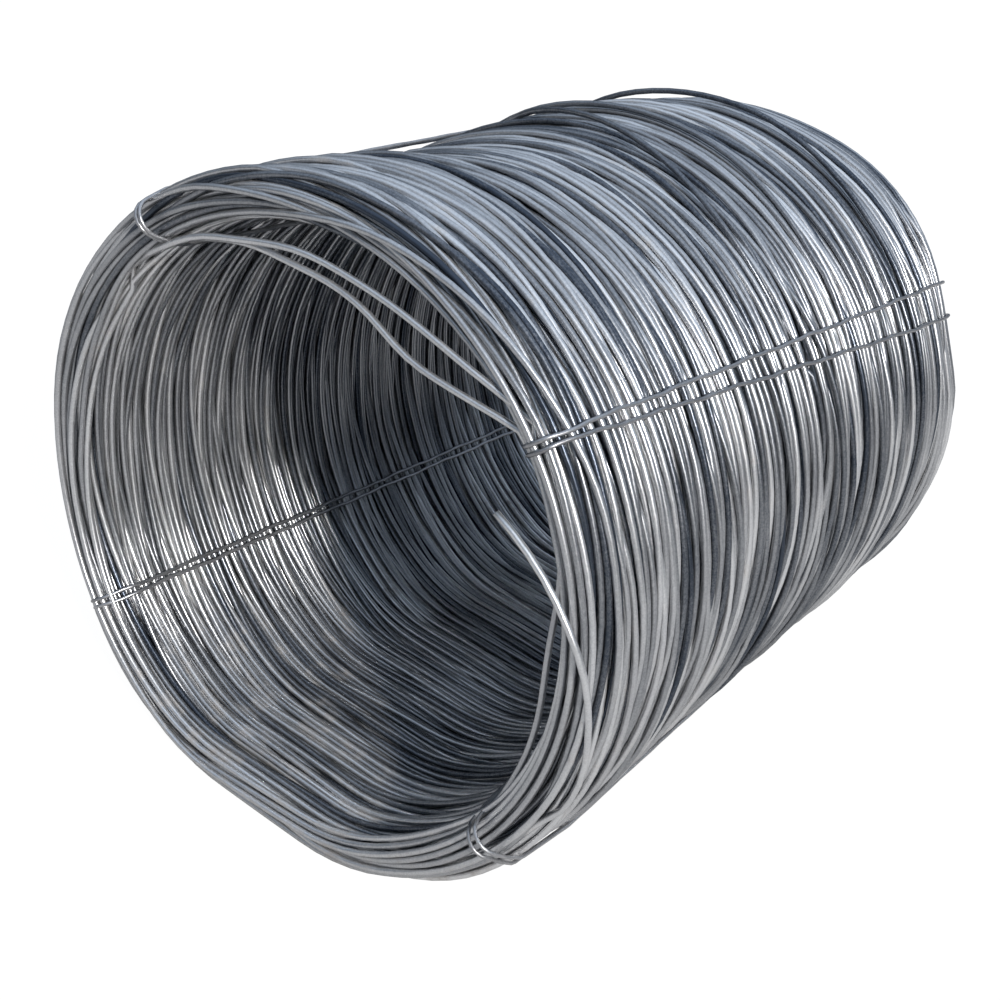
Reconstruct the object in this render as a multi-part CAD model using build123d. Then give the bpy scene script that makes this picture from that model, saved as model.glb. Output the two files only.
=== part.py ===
# Coil of wire rod lying on its side, held by four double ties.
# Y is the coil's axis, with its front end towards -Y, X is right and Z is up.
# The origin is at the bottom centre, on the ground.

import os
from math import atan, cos, pi, radians, sin, sqrt, tan

from build123d import *

# The rod, in millimetres
rod = 12.0                     # diameter of the hot-rolled rod
ridge_pitch = 30.0             # a ridge on an end is a group of turns that lie side by side
ridge_height = 4.0             # how far a ridge stands out of the grooves beside it

# The coil's wall, from the bore out to the outermost turn
coil_length = 1490.0
bore_radius = 525.0
belly_wall = 110.0             # the wall where it is thickest
front_thinner = 1.0            # how much thinner it is at the front end
waist_thinner = 13.0
back_thinner = 28.0
waist_from_front = 500.0
belly_from_front = 890.0
belly_length = 240.0
front_nose = 80.0              # depth of the rounded front end
back_nose = 62.0               # depth of the rounded back end

# The foot, where the coil has sagged on to the ground
sag_half_angle = 28.0          # the sagged part of the ring, each side of straight down
foot_half_width = 110.0        # half the width of the flat run of the bore line
ground_bite = 5.0              # how much of the belly the ground has pressed flat

# The ties, of soft wire
tie_wire = 7.0
wire_sides = 5
tie_seat = 0.7                 # clearance between a wire and the rod it lies on
tie_slack = 0.8                # what a wire's gentle bends need on top of that
tie_corner_room = 3.0          # room between the wire's bends at an end of the wall
twist_length = 46.0
twist_radius = 4.6             # the two ends of a wire, wound round each other

# Each double tie: its angle at the front from +X towards +Z, and then in wire
# diameters how far apart its two wires are at the front and the back, how far they
# stand off the front, and how far round they drift on the way back
ties = {
    "upper_left": (131.5, 1.2, 2.0, 2.0, 0.0),
    "upper_right": (41.5, 1.7, 10.7, 0.6, -10.7),
    "lower_left": (218.7, 2.0, 2.9, 0.6, 0.0),
    "lower_right": (328.4, 2.4, 3.1, 3.1, -6.0),
}

# Places of the turns that hang loose at the front: the angle from +X towards +Z, the
# share of the wall from the bore out, and the depth behind the front in rod diameters.
# Their fixed ends are inside the wall.
rod_sides = 6
upper_loose_turn = [
    (139.6, 0.26, 4.2), (131.4, 0.15, 1.2), (123.0, 0.03, 0.7), (113.6, -0.12, 0.7),
    (103.7, -0.23, 0.7), (92.3, -0.28, 0.7), (81.0, -0.25, 0.7), (70.2, -0.15, 0.7),
    (60.1, 0.0, 0.7), (51.8, 0.2, 1.0), (45.0, 0.4, 2.8),
]
lower_loose_turn = [
    (138.3, 0.3, 6.2), (131.5, 0.13, 3.2), (124.5, 0.01, 2.3), (115.9, -0.15, 1.8),
    (106.3, -0.3, 1.7), (95.6, -0.46, 1.7), (84.5, -0.58, 1.7), (74.6, -0.66, 1.7),
    (64.2, -0.6, 1.7), (54.8, -0.3, 1.7), (48.9, 0.1, 2.2), (43.9, 0.3, 5.0),
]
free_end_turn = [
    (33.4, -0.55, -0.2), (27.4, -0.31, -0.8), (21.4, -0.03, -1.2), (15.5, 0.25, -1.2),
    (10.0, 0.48, -1.1), (4.4, 0.64, -0.8), (-1.3, 0.77, 0.2), (-7.4, 0.89, 1.8),
    (-13.7, 0.95, 4.0), (-19.6, 0.7, 6.0),
]

# Places that follow from the sizes above
front = -coil_length / 2
back = coil_length / 2
front_wall = belly_wall - front_thinner
back_wall = belly_wall - back_thinner
belly_start = front + belly_from_front - belly_length / 2
belly_end = belly_start + belly_length
shoulder_offset = foot_half_width / sin(radians(sag_half_angle))
shoulder_z = -shoulder_offset * cos(radians(sag_half_angle))
sagged_bore_z = shoulder_z - (bore_radius - shoulder_offset)
ground_z = sagged_bore_z - belly_wall + ground_bite
first_angle = sag_half_angle - 90
last_angle = 270 - sag_half_angle
across_wire = tie_wire / 2 + tie_seat


def section_plane(angle, origin=(0, 0, 0)):
    # A plane through the axis, with its x outwards at this angle and its y along +Y
    turn = radians(angle)
    return Plane(origin=origin, x_dir=(cos(turn), 0, sin(turn)), z_dir=(-sin(turn), 0, cos(turn)))


def nose(wall, depth, base, side):
    # The rounded end of the wall from the bore out, half an ellipse with the ridges
    # of its turns. The side is -1 at the front and 1 at the back.
    half = wall / 2
    ridges = round(pi * sqrt((half ** 2 + depth ** 2) / 2) / ridge_pitch)
    points = []
    for step in range(2 * ridges + 1):
        angle = pi * step / (2 * ridges)
        outwards = Vector(-depth * cos(angle), half * sin(angle)).normalized()
        point = Vector(-half * cos(angle), depth * sin(angle)) + outwards * ridge_height * (step % 2)
        points.append((bore_radius + half + point.X, base + side * point.Y))
    return points


def wall_section():
    # The closed outline of the wall on one side of the axis
    front_end = nose(front_wall, front_nose, front + front_nose, -1)
    back_end = nose(back_wall, back_nose, back - back_nose, 1)
    waist = (bore_radius + belly_wall - waist_thinner, front + waist_from_front)
    belly = [(bore_radius + belly_wall, belly_start), (bore_radius + belly_wall, belly_end)]
    return make_face(Polyline(*front_end, waist, *belly, *reversed(back_end), close=True))


def sagged_ring():
    # The wall turned round the axis, with a tighter turn at each side of the flat foot
    axis_way = (0, -1, 0)
    sketch = wall_section()
    at_right = section_plane(first_angle) * sketch
    at_left = section_plane(last_angle) * sketch
    at_foot = section_plane(-90, (foot_half_width, 0, shoulder_z + shoulder_offset)) * sketch
    left_axis = Axis((-foot_half_width, 0, shoulder_z), axis_way)
    right_axis = Axis((foot_half_width, 0, shoulder_z), axis_way)
    round_part = revolve(at_right, Axis((0, 0, 0), axis_way), last_angle - first_angle)
    left_part = revolve(at_left, left_axis, sag_half_angle)
    right_part = revolve(at_foot, right_axis, sag_half_angle)
    foot_part = extrude(at_foot, foot_half_width * 2, dir=(-1, 0, 0))
    ring = round_part + [left_part, right_part, foot_part]
    below = Box(bore_radius * 3, coil_length * 2, bore_radius, align=(Align.CENTER, Align.CENTER, Align.MAX))
    return ring - Pos(0, 0, ground_z) * below


def bend_radii(points):
    # The largest bends that the runs on each side of a corner leave room for
    radii = []
    for before, corner, after in zip(points, points[1:], points[2:]):
        arriving, leaving = corner - before, after - corner
        half_turn = radians(arriving.get_angle(leaving)) / 2
        radii.append(0.45 * min(arriving.length, leaving.length) / tan(half_turn))
    return radii


def round_bar(path, radius, sides):
    # A bar of few sides along a path
    start = Plane(origin=path @ 0, z_dir=path % 0)
    return sweep(start * RegularPolygon(radius, sides), path)


def loose_turn(places):
    # A length of the rod that follows these places
    points = []
    for angle, share, depth in places:
        outwards = bore_radius + share * front_wall
        points.append(section_plane(angle).from_local_coords(Vector(outwards, front + depth * rod)))
    return round_bar(FilletPolyline(*points, radius=bend_radii(points)), rod / 2, rod_sides)


def tie_loop(angle, front_offset, back_offset, front_room, twist_way):
    # One wire through the eye and round the wall, in a plane beside the axis that
    # leans so that the wires of a pair spread and drift on their way to the back
    off_rod = ridge_height + across_wire
    near_end = front - off_rod - front_room
    far_end = back + off_rod
    slope = (back_offset - front_offset) / (far_end - near_end)
    lean = atan(slope)

    def corner(radius, y):
        # A point of the wire's plane at this distance from the coil's axis
        offset = front_offset + slope * (y - near_end)
        return Vector(sqrt(radius ** 2 - offset ** 2), y / cos(lean))

    inside = bore_radius - off_rod
    belly_out = bore_radius + belly_wall + across_wire + tie_slack
    front_out = bore_radius + front_wall + off_rod
    back_out = bore_radius + back_wall + off_rod
    corners = [
        corner(inside, near_end), corner(front_out, near_end), corner(belly_out, belly_start),
        corner(belly_out, belly_end), corner(back_out, far_end), corner(inside, far_end),
    ]
    front_bend = (front_out - inside) / 2 - tie_corner_room
    back_bend = (back_out - inside) / 2 - tie_corner_room
    bends = [front_bend, front_bend, *bend_radii(corners[1:-1]), back_bend, back_bend]

    upright = section_plane(angle)
    plane = Plane(
        origin=upright.z_dir * (front_offset - slope * near_end), x_dir=upright.x_dir,
        z_dir=upright.z_dir * cos(lean) - Vector(0, 1, 0) * sin(lean))
    path = FilletPolyline(*[plane.from_local_coords(point) for point in corners], radius=bends, close=True)
    loop = round_bar(path, tie_wire / 2, wire_sides)
    twist_at = corner((inside + back_out) / 2, far_end + twist_radius - tie_wire / 2)
    twist_start = Plane(origin=plane.from_local_coords(twist_at), z_dir=plane.z_dir * twist_way)
    return loop + extrude(twist_start * RegularPolygon(twist_radius, wire_sides), twist_length)


def tie_pair(name):
    # The two wires of a tie, each with its twist turned away from the other
    angle, *spans = ties[name]
    front_apart, back_apart, front_room, drift = [span * tie_wire for span in spans]
    return {
        f"tie_{name}_a": tie_loop(angle, -front_apart / 2, drift - back_apart / 2, front_room, -1),
        f"tie_{name}_b": tie_loop(angle, front_apart / 2, drift + back_apart / 2, front_room, 1),
    }


def wire_rod_coil():
    # The turned ring with its loose turns and its free end
    coil = sagged_ring()
    for places in (upper_loose_turn, lower_loose_turn, free_end_turn):
        coil += loose_turn(places)
    return coil


pieces = {"wire_rod_coil": wire_rod_coil()}
for tie_name in ties:
    pieces.update(tie_pair(tie_name))

# The origin goes to the bottom centre of all the pieces
box = Compound(list(pieces.values())).bounding_box()
to_origin = Pos(-box.center().X, -box.center().Y, -ground_z)

os.makedirs("parts", exist_ok=True)
for node, piece in pieces.items():
    export_step(to_origin * piece, f"parts/{node}.step")
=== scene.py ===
# Coil of wire rod, dressed for rendering. One long rod is laid turn by turn, pressed
# into the coil's wall, and held by four double ties. Lengths are in metres, and angles
# are in degrees from +X towards +Z. Names that start with s hold distances outwards
# from the bore line, and names that start with y hold places along the coil.

import math

import bpy
import numpy as np
from mathutils import Matrix


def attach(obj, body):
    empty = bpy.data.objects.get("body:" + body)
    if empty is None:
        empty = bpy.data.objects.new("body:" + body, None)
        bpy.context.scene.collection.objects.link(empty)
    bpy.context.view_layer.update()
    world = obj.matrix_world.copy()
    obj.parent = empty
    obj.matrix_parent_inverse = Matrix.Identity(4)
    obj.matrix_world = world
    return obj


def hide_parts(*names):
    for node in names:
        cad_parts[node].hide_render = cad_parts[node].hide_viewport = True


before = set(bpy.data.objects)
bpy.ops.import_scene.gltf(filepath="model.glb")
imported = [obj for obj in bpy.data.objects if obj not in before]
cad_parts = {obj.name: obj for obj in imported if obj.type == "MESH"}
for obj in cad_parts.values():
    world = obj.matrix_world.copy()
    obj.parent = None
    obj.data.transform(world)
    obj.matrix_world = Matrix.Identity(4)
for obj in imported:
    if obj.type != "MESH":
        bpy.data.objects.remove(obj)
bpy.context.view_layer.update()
random = np.random.default_rng(23)
print("frame loaded")

# The coil's shape, measured from its axis, with its front end towards -Y. The front
# end's lower side stands out to the front by frontSag.
coil = dict(
    axisHeight=0.6026, front=-0.7359, back=0.7541, bore=0.525, wall=0.110,
    frontNose=0.080, backNose=0.062, sagAngle=28.0, footHalf=0.110, firstAngle=33.4,
    frontSag=0.036, frontSagAngle=260.0, frontSagSpread=32.0,
)
halfWall = coil["wall"] / 2
shoulderOffset = coil["footHalf"] / math.sin(math.radians(coil["sagAngle"]))
shoulderZ = -shoulderOffset * math.cos(math.radians(coil["sagAngle"]))
shoulderBore = coil["bore"] - shoulderOffset

# The rounded ends of the wall, as (y where the rounding starts, depth, side)
noses = [
    (coil["front"] + coil["frontNose"], coil["frontNose"], -1),
    (coil["back"] - coil["backNose"], coil["backNose"], 1),
]

# Wall thickness along the coil, and then its swells and dents as (angle, y, how far it
# spreads round, how far along y, height)
wallAlong = dict(
    y=[-0.66, -0.35, -0.09, 0.13, 0.31, 0.69],
    wall=[0.105, 0.100, 0.098, 0.100, 0.102, 0.076],
    softening=0.08, samples=9,
)
swells = [
    (112, -0.25, 30, 0.26, -0.033),
    (115, -0.65, 22, 0.14, -0.006),
    (168, -0.69, 26, 0.25, 0.020),
    (258, -0.71, 28, 0.25, 0.036),
    (333, -0.53, 26, 0.15, 0.080),
    (335, 0.36, 30, 0.30, -0.008),
    (26, 0.75, 20, 0.16, -0.024),
    (358, 0.71, 20, 0.16, 0.020),
    (88, 0.73, 18, 0.16, -0.014),
    (112, 0.49, 20, 0.12, 0.008),
]

# Small lumps all over the wall, from waves of (count round the coil, radians a metre
# along it, phase)
lumps = dict(height=0.0015, waves=[(3, 23, 0), (5, -41, 1), (2, 67, 2)])

# The rod and how its turns are laid, first at coarse stations round the coil
rod = dict(radius=0.006, turns=680, stations=96, coarse=24, sides=6, pieces=5)
lay = dict(
    endRoom=0.004, heights=400,
    offsetLeast=0.55, driftDegrees=50.0, driftSpread=35.0, leanSpread=25.0,
    tiltLeast=0.003, tiltMost=0.045, tiltPower=5,
    wave=0.010, wavePower=3, waveCount=3, waveLean=5,
    sunkMost=0.016, sunkPower=1.2,
    coarseRounds=160, coarsePasses=1, fineRounds=90, finePasses=5, joinPasses=8,
)

# How turns that overlap are pushed apart and smoothed in each round
press = dict(reach=9, levelWeight=0.8, push=1.5, levelPasses=4, ease=0.15, groundFrom=0.3)

# Turns that hang loose at the front end, as (angle, share of the wall from the bore
# out, depth behind the front end), with the number of the turn that each is part of.
# The first is the free end.
hangingTurns = [
    dict(turn=0, tone=0.9, places=[
        (33.4, -0.46, -0.005), (27.3, -0.15, -0.006), (23.4, 0.06, -0.007),
        (18.5, 0.29, -0.008), (13.7, 0.50, -0.008), (9.5, 0.65, -0.002),
        (4.1, 0.75, 0.008), (-2.0, 0.83, 0.018), (-8.5, 0.91, 0.030),
        (-14.0, 0.93, 0.040), (-20.0, 0.90, 0.048)]),
    dict(turn=0, tone=0.9, places=[
        (-211.0, 0.42, 0.060), (-220.4, 0.20, 0.030), (-230.6, 0.00, 0.008),
        (-236.7, 0.01, 0.008), (-247.4, -0.18, 0.008), (-254.5, -0.22, 0.008),
        (-261.4, -0.20, 0.008), (-268.1, -0.22, 0.008), (-274.9, -0.25, 0.008),
        (-281.5, -0.23, 0.008), (-288.1, -0.18, 0.008), (-294.8, -0.11, 0.008),
        (-301.1, 0.01, 0.008), (-307.0, 0.17, 0.010), (-311.2, 0.33, 0.018),
        (-318.0, 0.50, 0.040)]),
    dict(turn=1, tone=0.8, places=[
        (-214.0, 0.38, 0.080), (-221.7, 0.25, 0.056), (-229.5, 0.10, 0.034),
        (-238.0, -0.08, 0.026), (-246.0, -0.20, 0.022), (-252.9, -0.30, 0.020),
        (-260.0, -0.47, 0.020), (-274.5, -0.55, 0.020), (-282.2, -0.62, 0.020),
        (-286.8, -0.72, 0.020), (-291.2, -0.76, 0.020), (-297.4, -0.68, 0.020),
        (-304.5, -0.42, 0.020), (-309.8, -0.16, 0.020), (-314.4, 0.12, 0.022),
        (-319.0, 0.36, 0.050)]),
    dict(turn=3, tone=0.6, places=[
        (33.0, 0.35, 0.050), (28.3, 0.18, 0.045), (19.7, 0.02, 0.045),
        (14.5, -0.07, 0.045), (10.2, -0.14, 0.045), (5.3, -0.18, 0.045),
        (-1.5, -0.14, 0.045), (-6.0, -0.08, 0.045), (-10.1, -0.04, 0.045),
        (-16.4, 0.03, 0.045), (-24.3, 0.10, 0.045), (-29.6, 0.19, 0.045)]),
]

# Dark turns that stand out on the barrel, in the same terms
raisedTurns = [
    dict(turn=376, tone=0.2, places=[
        (-150.0, 0.60, 0.800), (-185.0, 0.50, 0.880), (-215.0, 0.50, 0.930),
        (-228.0, 0.60, 0.900), (-238.0, 0.80, 0.870), (-246.0, 0.92, 0.838),
        (-262.0, 0.94, 0.787), (-280.0, 0.94, 0.728), (-295.0, 0.88, 0.700),
        (-310.0, 0.75, 0.710), (-325.0, 0.60, 0.745)]),
    dict(turn=439, tone=0.3, places=[
        (-215.0, 0.70, 0.918), (-232.0, 0.88, 0.918), (-244.0, 0.955, 0.918),
        (-285.0, 0.94, 0.916), (-308.0, 0.82, 0.915)]),
    dict(turn=581, tone=0.15, places=[
        (-215.0, 0.70, 1.208), (-230.0, 0.90, 1.212), (-244.0, 0.96, 1.213),
        (-278.0, 0.92, 1.217), (-304.0, 0.74, 1.220)]),
]
looseTurns = hangingTurns + raisedTurns
pinSmoothing = 12              # one pass of smoothing for this many stations


def degreesApart(angle, other):
    # From the other angle to this one, the shorter way round
    return (angle - other + 180) % 360 - 180


def plainWallAt(y):
    # The wall's thickness at y without its swells, averaged over a short length
    softening = wallAlong["softening"]
    shifts = np.linspace(-softening, softening, wallAlong["samples"])
    return np.mean([np.interp(y + shift, wallAlong["y"], wallAlong["wall"]) for shift in shifts], axis=0)


def wallAt(y, angle):
    # The wall's thickness at these places, with its swells, dents and lumps
    wall = plainWallAt(y)
    for swellAngle, swellY, spread, length, height in swells:
        around = degreesApart(angle, swellAngle) / spread
        wall = wall + height * np.exp(-around ** 2 - ((y - swellY) / length) ** 2)
    turn = np.radians(angle)
    waves = sum(np.sin(count * turn + along * y + phase) for count, along, phase in lumps["waves"])
    return wall + lumps["height"] * waves


def makeStations(count):
    # Places round the bore line in the order that the rod was laid, with the way out
    # at each: the main ring, a shoulder, the flat foot, and the other shoulder
    first, sag = coil["firstAngle"], coil["sagAngle"]
    mainRun = math.radians(first + 90 - sag) * (coil["bore"] + halfWall)
    shoulderRun = math.radians(sag) * (shoulderBore + halfWall)
    farRun = math.radians(270 - sag - first) * (coil["bore"] + halfWall)
    ends = np.cumsum([0, mainRun, shoulderRun, 2 * coil["footHalf"], shoulderRun, farRun])
    along = np.arange(count) / count * ends[-1]
    angle = np.interp(along, ends, [first, sag - 90, -90, -90, -90 - sag, first - 360])
    sagged = (along > ends[1]) & (along < ends[4])
    footX = np.interp(along, ends[2:4], [coil["footHalf"], -coil["footHalf"]])
    centreX = np.where(sagged, footX, 0)
    centreZ = np.where(sagged, shoulderZ, 0)
    reach = np.where(sagged, shoulderBore, coil["bore"])
    out = np.stack([np.cos(np.radians(angle)), np.sin(np.radians(angle))], axis=1)
    return dict(angle=angle, out=out, x=centreX + reach * out[:, 0], z=centreZ + reach * out[:, 1])


def smoothAlong(values, passes):
    # Averages each place with its neighbours along the chain
    flat = values.ravel().copy()
    for _ in range(passes):
        flat[1:-1] = (flat[:-2] + 2 * flat[1:-1] + flat[2:]) / 4
    return flat.reshape(values.shape)


def alongChain(perTurn, stations):
    # A value for each turn, run smoothly along the chain
    chain = np.arange(len(perTurn) * stations) / stations
    values = np.interp(chain, np.arange(len(perTurn)), perTurn)
    return smoothAlong(values, stations // 2).reshape(-1, stations)


def pressIntoWall(s, y, stations, sunk):
    # Brings the turns back inside the wall: its rounded ends, its bore, its outside
    # and the ground. Sunk is how far below the surface each turn has to stay.
    radius = rod["radius"] + sunk
    angle = stations["angle"][None, :]
    around = degreesApart(angle, coil["frontSagAngle"]) / coil["frontSagSpread"]
    nearer = coil["frontSag"] * np.exp(-around ** 2)
    for start, depth, side in noses:
        base = start - nearer * (side < 0)
        half = wallAt(base, angle) / 2
        past = (y - base) * side > 0
        share = np.sqrt(((s - half) / (half - radius)) ** 2 + ((y - base) / (depth - radius)) ** 2)
        out = past & (share > 1)
        share = np.where(out, share, 1)
        s = half * out + (s - half * out) / share
        y = np.where(out, base + (y - base) / share, y)
    low = stations["z"] + coil["axisHeight"]
    down = -stations["out"][:, 1]
    faces = down > press["groundFrom"]
    ground = np.where(faces, low / np.maximum(down, press["groundFrom"]), 1) - rod["radius"]
    outside = np.minimum(wallAt(y, angle) - radius, ground[None, :])
    return np.clip(s, radius, outside), y


def overlapMoves(s, y, level):
    # How turns that overlap in a section move apart, each by half. Where two cross,
    # the one that lies further out along its length stays outside.
    order = np.argsort(y, axis=0)
    s, y, level = (np.take_along_axis(values, order, 0) for values in (s, y, level))
    moveS, moveY, touches = np.zeros_like(s), np.zeros_like(y), np.zeros_like(s)
    for shift in range(1, press["reach"] + 1):
        apartS, apartY = s[shift:] - s[:-shift], y[shift:] - y[:-shift]
        depth = 2 * rod["radius"] - np.sqrt(apartS ** 2 + apartY ** 2)
        wayS = apartS + press["levelWeight"] * (level[shift:] - level[:-shift])
        length = np.sqrt(wayS ** 2 + apartY ** 2) + 1e-6
        hit = depth > 0
        push = np.where(hit, depth / 2 / length, 0)
        moveS[shift:] += wayS * push
        moveS[:-shift] -= wayS * push
        moveY[shift:] += apartY * push
        moveY[:-shift] -= apartY * push
        touches[shift:] += hit
        touches[:-shift] += hit
    share = 1 / np.maximum(touches / 2, 1)
    backS, backY = np.empty_like(s), np.empty_like(y)
    np.put_along_axis(backS, order, moveS * share, 0)
    np.put_along_axis(backY, order, moveY * share, 0)
    return backS, backY


def loosePins(stations):
    # The loose turns' places at the stations that they pass
    pins = []
    for loose in looseTurns:
        places = np.array(loose["places"])
        passed = (stations["angle"] <= places[0, 0]) & (stations["angle"] >= places[-1, 0])
        columns = np.nonzero(passed)[0]
        angle = stations["angle"][columns]
        share, depth = (
            smoothAlong(np.interp(-angle, -places[:, 0], places[:, k]), len(columns) // pinSmoothing)
            for k in (1, 2))
        pins.append((loose["turn"], columns, share * coil["wall"], coil["front"] + depth))
    return pins


def relax(s, y, stations, sunk, rounds, passes):
    # Presses the turns into the wall and apart, keeping each one smooth along its length
    pins = loosePins(stations)
    for _ in range(rounds):
        level = smoothAlong(s, press["levelPasses"] * passes)
        moveS, moveY = overlapMoves(s, y, level)
        s = s + press["push"] * smoothAlong(moveS, passes)
        y = y + press["push"] * smoothAlong(moveY, passes)
        s, y = pressIntoWall(s, y, stations, sunk)
        s = s + press["ease"] * (smoothAlong(s, passes) - s)
        y = y + press["ease"] * (smoothAlong(y, passes) - y)
        for turn, columns, pinS, pinY in pins:
            s[turn, columns], y[turn, columns] = pinS, pinY
    return s, y


def layTurns():
    # The rings as they were laid, offset this way and that, spread along the coil so
    # that every part of the wall gets its share, and then pressed together
    turns, coarse, fine = rod["turns"], rod["coarse"], rod["stations"]
    stations = makeStations(coarse)
    heights = np.linspace(coil["front"] + lay["endRoom"], coil["back"] - lay["endRoom"], lay["heights"])
    room = plainWallAt(heights) - 2 * rod["radius"]
    for start, depth, side in noses:
        inNose = np.clip((heights - start) * side / depth, 0, 1)
        room = room * np.sqrt(1 - inNose ** 2)
    filled = np.cumsum(room)
    chain = (np.arange(turns * coarse) + 0.5).reshape(turns, coarse) / (turns * coarse)
    y = np.interp(chain * filled[-1], filled, heights)

    steps = lay["driftDegrees"] + lay["driftSpread"] * random.standard_normal(turns)
    drift = alongChain(np.radians(np.cumsum(steps)), coarse)
    offset = alongChain(random.uniform(lay["offsetLeast"], 1.0, turns), coarse)
    lean = alongChain(np.radians(np.cumsum(lay["leanSpread"] * random.standard_normal(turns))), coarse)
    tilt = lay["tiltLeast"] + lay["tiltMost"] * random.uniform(0, 1, turns) ** lay["tiltPower"]
    wave = lay["wave"] * random.uniform(0, 1, turns) ** lay["wavePower"]
    sunk = lay["sunkMost"] * random.uniform(0, 1, turns) ** lay["sunkPower"]
    for loose in looseTurns:
        sunk[max(loose["turn"] - 1, 0):loose["turn"] + 2] = 0

    angle = np.radians(stations["angle"])[None, :]
    half = wallAt(y, stations["angle"][None, :]) / 2
    s = half + (half - rod["radius"]) * offset * np.cos(angle - drift)
    y = (
        y + alongChain(tilt, coarse) * np.cos(angle - lean)
        + alongChain(wave, coarse) * np.cos(lay["waveCount"] * angle + lay["waveLean"] * lean))
    s, y = relax(s, y, stations, alongChain(sunk, coarse), lay["coarseRounds"], lay["coarsePasses"])
    print("turns laid")

    stations = makeStations(fine)
    coarseChain = np.arange(turns * coarse) / coarse
    fineChain = np.arange(turns * fine) / fine
    s, y = (
        smoothAlong(np.interp(fineChain, coarseChain, values.ravel()), lay["joinPasses"]).reshape(turns, fine)
        for values in (s, y))
    s, y = relax(s, y, stations, alongChain(sunk, fine), lay["fineRounds"], lay["finePasses"])
    print("turns pressed together")
    return s, y, stations


def tubeMesh(name, points, outwards, bar, tones, closed=False):
    # A round bar along these points, with its tone carried along it. Bar has the
    # radius and the number of sides.
    radius, sides = bar["radius"], bar["sides"]
    if closed:
        tangents = np.roll(points, -1, 0) - np.roll(points, 1, 0)
    else:
        tangents = np.gradient(points, axis=0)
    tangents /= np.linalg.norm(tangents, axis=1)[:, None]
    normals = outwards - np.sum(outwards * tangents, axis=1)[:, None] * tangents
    normals /= np.linalg.norm(normals, axis=1)[:, None]
    sideways = np.cross(tangents, normals)
    turn = (np.arange(sides) / sides * 2 * math.pi)[None, :, None]
    rings = points[:, None] + radius * (np.cos(turn) * normals[:, None] + np.sin(turn) * sideways[:, None])

    count = len(points)
    here = np.arange(count if closed else count - 1)[:, None] * sides
    after = (here + sides) % (count * sides)
    around = np.arange(sides)[None, :]
    beside = (around + 1) % sides
    quads = np.stack([here + around, here + beside, after + beside, after + around], axis=-1).reshape(-1, 4)
    loops = quads.ravel()
    starts = np.arange(len(quads)) * 4
    sizes = np.full(len(quads), 4)
    if not closed:
        caps = np.concatenate([np.arange(sides)[::-1], (count - 1) * sides + np.arange(sides)])
        starts = np.concatenate([starts, len(loops) + np.array([0, sides])])
        sizes = np.concatenate([sizes, [sides, sides]])
        loops = np.concatenate([loops, caps])

    mesh = bpy.data.meshes.new(name)
    mesh.vertices.add(count * sides)
    mesh.vertices.foreach_set("co", rings.astype(np.float32).ravel())
    mesh.loops.add(len(loops))
    mesh.loops.foreach_set("vertex_index", loops.astype(np.int32))
    mesh.polygons.add(len(starts))
    mesh.polygons.foreach_set("loop_start", starts.astype(np.int32))
    mesh.polygons.foreach_set("loop_total", sizes.astype(np.int32))
    mesh.polygons.foreach_set("use_smooth", sizes == 4)
    mesh.update(calc_edges=True)
    attribute = mesh.attributes.new("tone", "FLOAT", "POINT")
    attribute.data.foreach_set("value", np.repeat(tones, sides).astype(np.float32))
    return addObject(name, mesh)


def addObject(name, data):
    made = bpy.data.objects.new(name, data)
    bpy.context.scene.collection.objects.link(made)
    return made


def finishPiece(piece, node, material):
    piece.data.materials.append(material)
    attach(piece, "root")
    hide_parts(node)


class Value:
    # A node's output, with arithmetic that adds the maths nodes
    def __init__(self, tree, socket):
        self.tree, self.socket = tree, socket

    def node(self, kind, settings=None, output=0, **inputs):
        # Adds a node. An input is given by its name, or by i and its number.
        made = self.tree.nodes.new(kind)
        for key, value in (settings or {}).items():
            setattr(made, key, value)
        for key, value in inputs.items():
            numbered = key[0] == "i" and key[1:].isdigit()
            socket = made.inputs[int(key[1:]) if numbered else key.replace("_", " ")]
            if isinstance(value, Value):
                self.tree.links.new(value.socket, socket)
            else:
                socket.default_value = value
        return Value(self.tree, made.outputs[output] if made.outputs else None)

    def maths(self, operation, first, second=0.0):
        return self.node("ShaderNodeMath", {"operation": operation}, i0=first, i1=second)

    def __add__(self, other):
        return self.maths("ADD", self, other)

    def __radd__(self, other):
        return self.maths("ADD", other, self)

    def __sub__(self, other):
        return self.maths("SUBTRACT", self, other)

    def __rsub__(self, other):
        return self.maths("SUBTRACT", other, self)

    def __mul__(self, other):
        return self.maths("MULTIPLY", self, other)

    def __rmul__(self, other):
        return self.maths("MULTIPLY", other, self)

    def __truediv__(self, other):
        return self.maths("DIVIDE", self, other)

    def __rtruediv__(self, other):
        return self.maths("DIVIDE", other, self)

    def swing(self, amount):
        # How far the value is from a half, times this amount
        return (self - 0.5) * amount

    def clamped(self, low=0.0, high=1.0):
        return self.node("ShaderNodeClamp", Value=self, Min=low, Max=high)

    def ramped(self, low, high):
        smooth = {"interpolation_type": "SMOOTHSTEP"}
        return self.node("ShaderNodeMapRange", smooth, Value=self, From_Min=low, From_Max=high)

    def noise(self, scale, detail=3.0, roughness=0.55):
        return self.node("ShaderNodeTexNoise", Vector=self, Scale=scale, Detail=detail, Roughness=roughness)

    def height(self):
        return self.node("ShaderNodeSeparateXYZ", None, 2, Vector=self)

    def mixedColour(self, none, full):
        # One colour where the value is 0 and the other where it is 1
        return self.node("ShaderNodeMix", {"data_type": "RGBA"}, 2, i0=self, i6=none, i7=full)


def newMaterial(name):
    material = bpy.data.materials.new(name)
    material.use_nodes = True
    tree = material.node_tree
    tree.nodes.clear()
    return material, Value(tree, tree.nodes.new("ShaderNodeTexCoord").outputs["Object"])


def toneOf(place):
    return place.node("ShaderNodeAttribute", {"attribute_name": "tone"}, 2)


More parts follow.
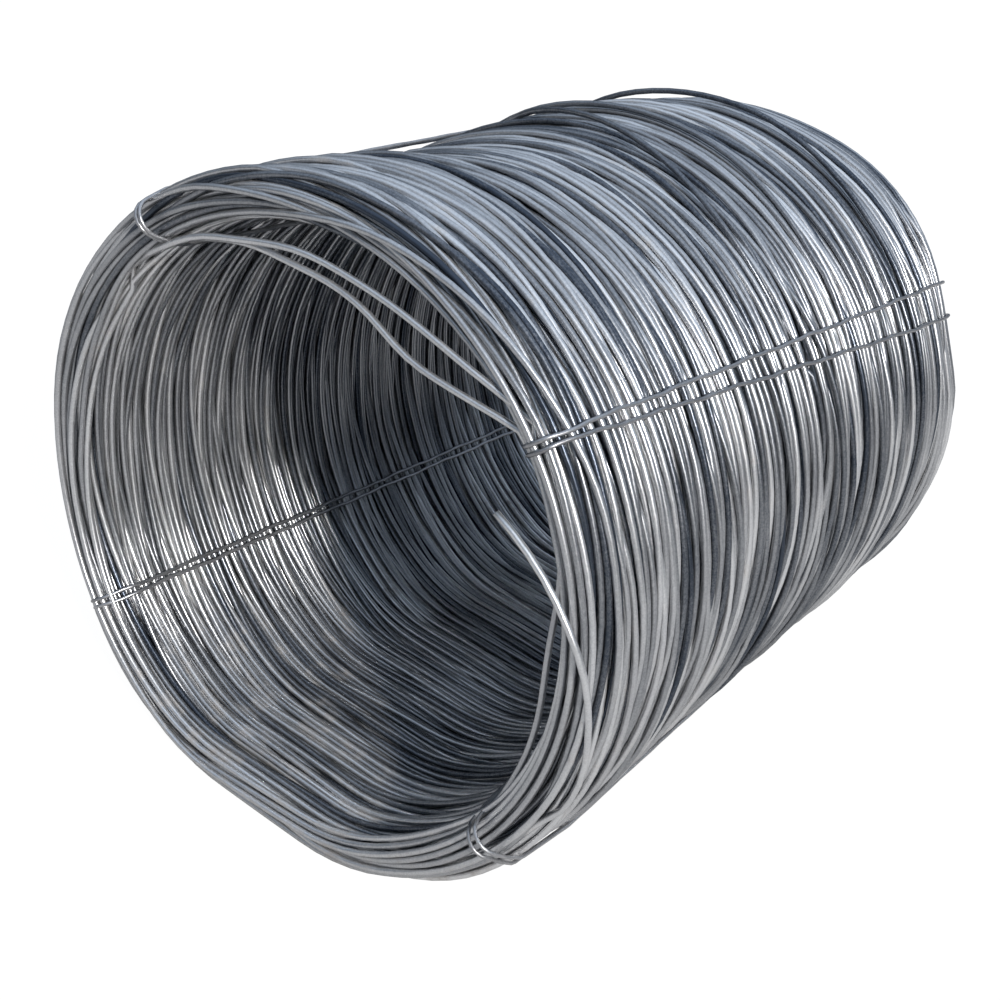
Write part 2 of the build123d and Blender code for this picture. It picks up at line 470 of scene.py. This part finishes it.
def finishMaterial(place, **inputs):
    shader = place.node("ShaderNodeBsdfPrincipled", **inputs)
    place.node("ShaderNodeOutputMaterial", Surface=shader)


def rodSteel():
    # Hot-rolled steel under blue-grey mill scale, finely mottled, with brown rust stains and a painted
    # reflection of the ground that browns it towards the bottom. A noise has its scale, detail and roughness.
    look = dict(
        dark=(0.062, 0.075, 0.098, 1), light=(0.80, 0.80, 0.805, 1), brown=(0.22, 0.18, 0.145, 1),
        brightness=0.50, mottle=(260.0, 4.0, 0.65), mottleSwing=0.6, flakes=(900.0, 3.0, 0.6),
        flakesSwing=0.35, patches=(9.0, 3.0), patchesSwing=0.4, toneSwing=1.1,
        stainsAndGroundReflection=(18.0, 4.0, 0.7), stainsToneSwing=0.25, groundReflectionBelow=0.30, groundReflectionStrength=0.5,
        brownFrom=0.60, brownTo=0.95, brownMost=0.6,
        metallic=0.84, roughness=0.33, roughnessSwing=0.18, brownRoughness=0.3,
        roughnessLeast=0.2, roughnessMost=0.9, bump=0.12, grain=0.0004, flakesHeight=0.6,
    )
    material, place = newMaterial("rod_mill_scale")
    tone = toneOf(place)
    mottle = place.noise(*look["mottle"])
    flakes = place.noise(*look["flakes"])
    patches = place.noise(*look["patches"])
    brightness = (
        look["brightness"] + mottle.swing(look["mottleSwing"]) + flakes.swing(look["flakesSwing"])
        + patches.swing(look["patchesSwing"]) + tone.swing(look["toneSwing"]))
    # Painted reflection of the ground: a share that grows below a height and browns the rod there
    paintedGroundReflection = (look["groundReflectionBelow"] - place.height()).clamped()
    stainsAndGroundReflection = (
        place.noise(*look["stainsAndGroundReflection"]) + tone.swing(look["stainsToneSwing"]) + paintedGroundReflection * look["groundReflectionStrength"])
    # The brown mixes real rust stains with the painted reflection of the ground near the bottom
    brownStainsAndReflection = stainsAndGroundReflection.ramped(look["brownFrom"], look["brownTo"]) * look["brownMost"]
    scale = brightness.clamped().mixedColour(look["dark"], look["light"])
    roughness = (
        look["roughness"] + mottle.swing(look["roughnessSwing"]) + brownStainsAndReflection * look["brownRoughness"])
    bumped = place.node(
        "ShaderNodeBump", Strength=look["bump"], Distance=look["grain"],
        Height=mottle + flakes * look["flakesHeight"])
    finishMaterial(
        place, Base_Color=brownStainsAndReflection.mixedColour(scale, look["brown"]),
        Metallic=look["metallic"] * (1 - brownStainsAndReflection),
        Roughness=roughness.clamped(look["roughnessLeast"], look["roughnessMost"]), Normal=bumped)
    return material


def tieSteel():
    # Soft drawn wire, dull grey with worn bright spots
    look = dict(
        dark=(0.16, 0.16, 0.17, 1), light=(0.56, 0.56, 0.57, 1), brightness=0.5,
        marks=(320.0, 4.0, 0.6), marksSwing=0.9, patches=(24.0, 3.0), patchesSwing=0.9, toneSwing=0.5,
        metallic=0.75, roughness=0.34, roughnessSwing=0.2, roughnessLeast=0.2, roughnessMost=0.8,
        bump=0.15, grain=0.0003,
    )
    material, place = newMaterial("tie_drawn_wire")
    marks = place.noise(*look["marks"])
    patches = place.noise(*look["patches"])
    brightness = (
        look["brightness"] + marks.swing(look["marksSwing"]) + patches.swing(look["patchesSwing"])
        + toneOf(place).swing(look["toneSwing"]))
    roughness = look["roughness"] + marks.swing(look["roughnessSwing"])
    bumped = place.node("ShaderNodeBump", Strength=look["bump"], Distance=look["grain"], Height=marks)
    finishMaterial(
        place, Base_Color=brightness.clamped().mixedColour(look["dark"], look["light"]),
        Metallic=look["metallic"],
        Roughness=roughness.clamped(look["roughnessLeast"], look["roughnessMost"]), Normal=bumped)
    return material


def makeTurns(s, y, stations):
    # The rod along its whole chain, in a few pieces that meet end to end
    out = stations["out"]
    x = stations["x"] + s * out[:, 0]
    z = stations["z"] + s * out[:, 1] + coil["axisHeight"]
    points = np.stack([x, y, z], axis=-1).reshape(-1, 3)
    outwards = np.tile(np.stack([out[:, 0], np.zeros(len(out)), out[:, 1]], axis=-1), (len(s), 1))
    perTurn = random.uniform(0, 1, rod["turns"])
    for loose in looseTurns:
        perTurn[loose["turn"]:loose["turn"] + 2] = loose["tone"]
    tones = alongChain(perTurn, rod["stations"]).ravel()
    steel = rodSteel()
    perPiece = math.ceil(rod["turns"] / rod["pieces"]) * rod["stations"]
    for number in range(rod["pieces"]):
        part = slice(number * perPiece, min((number + 1) * perPiece + 1, len(points)))
        piece = tubeMesh(f"rod_turns_{number + 1}", points[part], outwards[part], rod, tones[part])
        finishPiece(piece, "wire_rod_coil", steel)
    print("rod made")


# Ties: the angle at the front, how far apart the wires are at the front and the back,
# how far they stand off the front, and how far round they drift on the way back, the
# more of it near the front the smaller early is
ties = {
    "upper_left": dict(angle=131.5, front=0.0085, back=0.014, frontRoom=0.014, drift=0.0, early=1.0),
    "upper_right": dict(angle=41.5, front=0.012, back=0.075, frontRoom=0.004, drift=-0.075, early=1.0),
    "lower_left": dict(angle=218.7, front=0.014, back=0.020, frontRoom=0.004, drift=0.0, early=1.0),
    "lower_right": dict(angle=328.4, front=0.020, back=0.022, frontRoom=0.022, drift=-0.100, early=0.5),
}
tieWire = dict(
    radius=0.0035, sides=8, step=0.012, toneLeast=0.2, toneMost=0.8,
    wobble=0.0012, wobbleWaves=(31, 83), wobbleSecond=0.6,
    rimSides=16, frontBulge=0.034,
)
twist = dict(length=0.046, radius=0.0036, turns=2.5, step=0.002, share=0.25, tone=0.5)


def halfHull(ordered):
    # One side of the outline round points that are sorted across
    hull = []
    for point in ordered:
        while len(hull) > 1:
            (acrossA, alongA), (acrossB, alongB) = hull[-1] - hull[-2], point - hull[-2]
            if acrossA * alongB - alongA * acrossB > 0:
                break
            hull.pop()
        hull.append(point)
    return hull[:-1]


def tautLoop(s, y, frontRoom):
    # The loop that a wire makes when it is pulled round the turns in one section
    clearance = rod["radius"] + tieWire["radius"]
    turn = np.arange(tieWire["rimSides"]) / tieWire["rimSides"] * 2 * math.pi
    rimS = (s[:, None] + clearance * np.cos(turn)).ravel()
    rimY = (y[:, None] + clearance * np.sin(turn)).ravel()
    points = np.stack([rimS, rimY], axis=1)
    bulge = tieWire["frontBulge"]
    bulgeY = coil["front"] + bulge - frontRoom + bulge * np.sin(turn)
    points = np.concatenate([points, np.stack([halfWall + bulge * np.cos(turn), bulgeY], axis=1)])
    points = points[np.lexsort((points[:, 1], points[:, 0]))]
    loop = np.array(halfHull(points) + halfHull(points[::-1]))
    closed = np.vstack([loop, loop[:1]])
    lengths = np.concatenate([[0], np.cumsum(np.linalg.norm(np.diff(closed, axis=0), axis=1))])
    places = np.linspace(0, lengths[-1], int(lengths[-1] / tieWire["step"]), endpoint=False)
    return np.stack([np.interp(places, lengths, closed[:, k]) for k in (0, 1)], axis=1)


def asideAt(tie, side, y):
    # How far round the coil a wire of this tie is from the tie's angle, in metres
    share = np.clip((y - coil["front"]) / (coil["back"] - coil["front"]), 0, 1)
    spread = side * (tie["front"] + (tie["back"] - tie["front"]) * share) / 2
    return spread + tie["drift"] * share ** tie["early"]


def makeTwist(name, start, way, node, steel):
    # The two ends of a wire, wound round each other
    count = int(twist["length"] / twist["step"])
    along = np.arange(count + 1) / count
    backwards = np.array([0, 1, 0])
    aside = np.cross(way, backwards)
    for strand in (0, 1):
        turn = 2 * math.pi * twist["turns"] * along + math.pi * strand
        around = np.cos(turn)[:, None] * backwards + np.sin(turn)[:, None] * aside
        points = start + along[:, None] * way * twist["length"] + around * twist["radius"]
        tones = np.full(len(points), twist["tone"])
        piece = tubeMesh(f"{name}_{strand + 1}", points, around, tieWire, tones)
        finishPiece(piece, node, steel)


def makeTies(s, y, stations):
    # Each wire is pulled round the turns near it, in a section that follows the wire
    # round the coil. The turns that hang loose at the front don't hold it.
    steel = tieSteel()
    hanging = max(loose["turn"] for loose in hangingTurns) + 1
    middle = coil["bore"] + halfWall
    turnStep = math.radians(stations["angle"][0] - stations["angle"][1])
    firstWave, secondWave = tieWire["wobbleWaves"]
    for name, tie in ties.items():
        column = int(np.argmin(np.abs(degreesApart(stations["angle"], tie["angle"]))))
        for wire, side in (("a", -1), ("b", 1)):
            shift = np.round(asideAt(tie, side, y[hanging:, column]) / middle / turnStep).astype(int)
            nearest = np.arange(hanging, len(s)) * s.shape[1] + column - shift
            near = np.clip(np.concatenate([nearest - 1, nearest, nearest + 1]), 0, s.size - 1)
            loop = tautLoop(s.ravel()[near], y.ravel()[near], tie["frontRoom"])
            far = np.arange(len(loop)) * tieWire["step"]
            phase = tie["angle"] + 2 * side
            second = tieWire["wobbleSecond"] * np.sin(far * secondWave + 2 * phase)
            wobble = tieWire["wobble"] * (np.sin(far * firstWave + phase) + second)
            angle = math.radians(tie["angle"]) + (asideAt(tie, side, loop[:, 1]) + wobble) / middle
            none = np.zeros(len(loop))
            out = np.stack([np.cos(angle), none, np.sin(angle)], axis=1)
            across = np.stack([-np.sin(angle), none, np.cos(angle)], axis=1)
            points = (coil["bore"] + loop[:, :1]) * out + loop[:, 1:] * [0, 1, 0] + [0, 0, coil["axisHeight"]]
            tones = np.full(len(points), random.uniform(tieWire["toneLeast"], tieWire["toneMost"]))
            node = f"tie_{name}_{wire}"
            piece = tubeMesh(f"tie_wire_{name}_{wire}", points, across, tieWire, tones, closed=True)
            finishPiece(piece, node, steel)
            offShare = np.abs(loop[:, 0] - twist["share"] * coil["wall"])
            rearmost = int(np.argmin(offShare - loop[:, 1]))
            start = points[rearmost] + np.array([0, tieWire["radius"], 0])
            makeTwist(f"tie_twist_{name}_{wire}", start, side * across[rearmost], node, steel)
    print("ties made")


def makeFloor():
    # A floor that looks white and keeps the coil's shadow. Whiteness is how much of it
    # the camera sees as white, and sheen how much of that the metal mirrors.
    look = dict(
        half=30.0, drop=0.001, dark=(0.30, 0.29, 0.28, 1), light=(0.34, 0.33, 0.32, 1), grain=(3.0, 2.0),
        whiteness=0.75, sheen=0.25, glow=1.29,
    )
    half, z = look["half"], -look["drop"]
    mesh = bpy.data.meshes.new("floor")
    corners = [(-half, -half, z), (half, -half, z), (half, half, z), (-half, half, z)]
    mesh.from_pydata(corners, [], [(0, 1, 2, 3)])
    floor = addObject("floor", mesh)
    material, place = newMaterial("floor_pale")
    shade = place.noise(*look["grain"]).mixedColour(look["dark"], look["light"])
    diffuse = place.node("ShaderNodeBsdfDiffuse", Color=shade)
    white = place.node("ShaderNodeEmission", Color=(1, 1, 1, 1), Strength=look["glow"])
    seen = place.node("ShaderNodeLightPath", None, "Is Camera Ray") * look["whiteness"]
    mirrored = place.node("ShaderNodeLightPath", None, "Is Glossy Ray") * look["sheen"]
    mixed = place.node("ShaderNodeMixShader", i0=seen + mirrored, i1=diffuse, i2=white)
    place.node("ShaderNodeOutputMaterial", Surface=mixed)
    floor.data.materials.append(material)


def makeSky():
    # A blue fill that grows from the horizon up
    look = dict(colour=(0.66, 0.80, 1.0, 1), low=0.045, high=0.85, full=0.9)
    world = bpy.data.worlds.new("studio")
    bpy.context.scene.world = world
    world.use_nodes = True
    tree = world.node_tree
    tree.nodes.clear()
    way = Value(tree, tree.nodes.new("ShaderNodeTexCoord").outputs["Generated"])
    low = way.node("ShaderNodeBackground", Color=look["colour"], Strength=look["low"])
    high = way.node("ShaderNodeBackground", Color=look["colour"], Strength=look["high"])
    sky = way.node("ShaderNodeMixShader", i0=way.height().ramped(0.0, look["full"]), i1=low, i2=high)
    way.node("ShaderNodeOutputWorld", Surface=sky)


def turnTo(thing, right, up, back):
    # Turns a light or a camera by the ways that its own sides point
    thing.rotation_mode = "QUATERNION"
    thing.rotation_quaternion = Matrix(np.stack([right, up, back], axis=1).tolist()).to_quaternion()


def makeKey():
    # The key light, from the upper right and a little to the front
    look = dict(way=(0.72, -0.44, 0.537), spread=5.0, power=3.2, colour=(1.0, 0.97, 0.93))
    light = bpy.data.lights.new("key", "SUN")
    light.energy, light.angle = look["power"], math.radians(look["spread"])
    light.color = look["colour"]
    back = np.array(look["way"]) / np.linalg.norm(look["way"])
    right = np.cross([0, 0, 1], back)
    right /= np.linalg.norm(right)
    turnTo(addObject("key", light), right, np.cross(back, right), back)


def makeCamera():
    # The photograph's view, fitted to the coil's outline
    view = dict(
        azimuth=32.18, elevation=28.66, roll=11.46, lens=53.04, sensor=36.0, place=(1.3876, -2.3138, 1.9020))
    azimuth, elevation, roll = (math.radians(view[key]) for key in ("azimuth", "elevation", "roll"))
    level = math.cos(elevation)
    back = np.array([math.sin(azimuth) * level, -math.cos(azimuth) * level, math.sin(elevation)])
    right = np.array([math.cos(azimuth), math.sin(azimuth), 0])
    up = np.cross(back, right)
    data = bpy.data.cameras.new("camera")
    data.lens, data.sensor_width = view["lens"], view["sensor"]
    camera = addObject("camera", data)
    camera.location = view["place"]
    tiltedRight = math.cos(roll) * right + math.sin(roll) * up
    tiltedUp = math.cos(roll) * up - math.sin(roll) * right
    turnTo(camera, tiltedRight, tiltedUp, back)
    bpy.context.scene.camera = camera


laidTurns = layTurns()
makeTurns(*laidTurns)
makeTies(*laidTurns)
makeFloor()
makeSky()
makeKey()
makeCamera()
bpy.context.scene.view_settings.view_transform = "Standard"

print("scene finished")
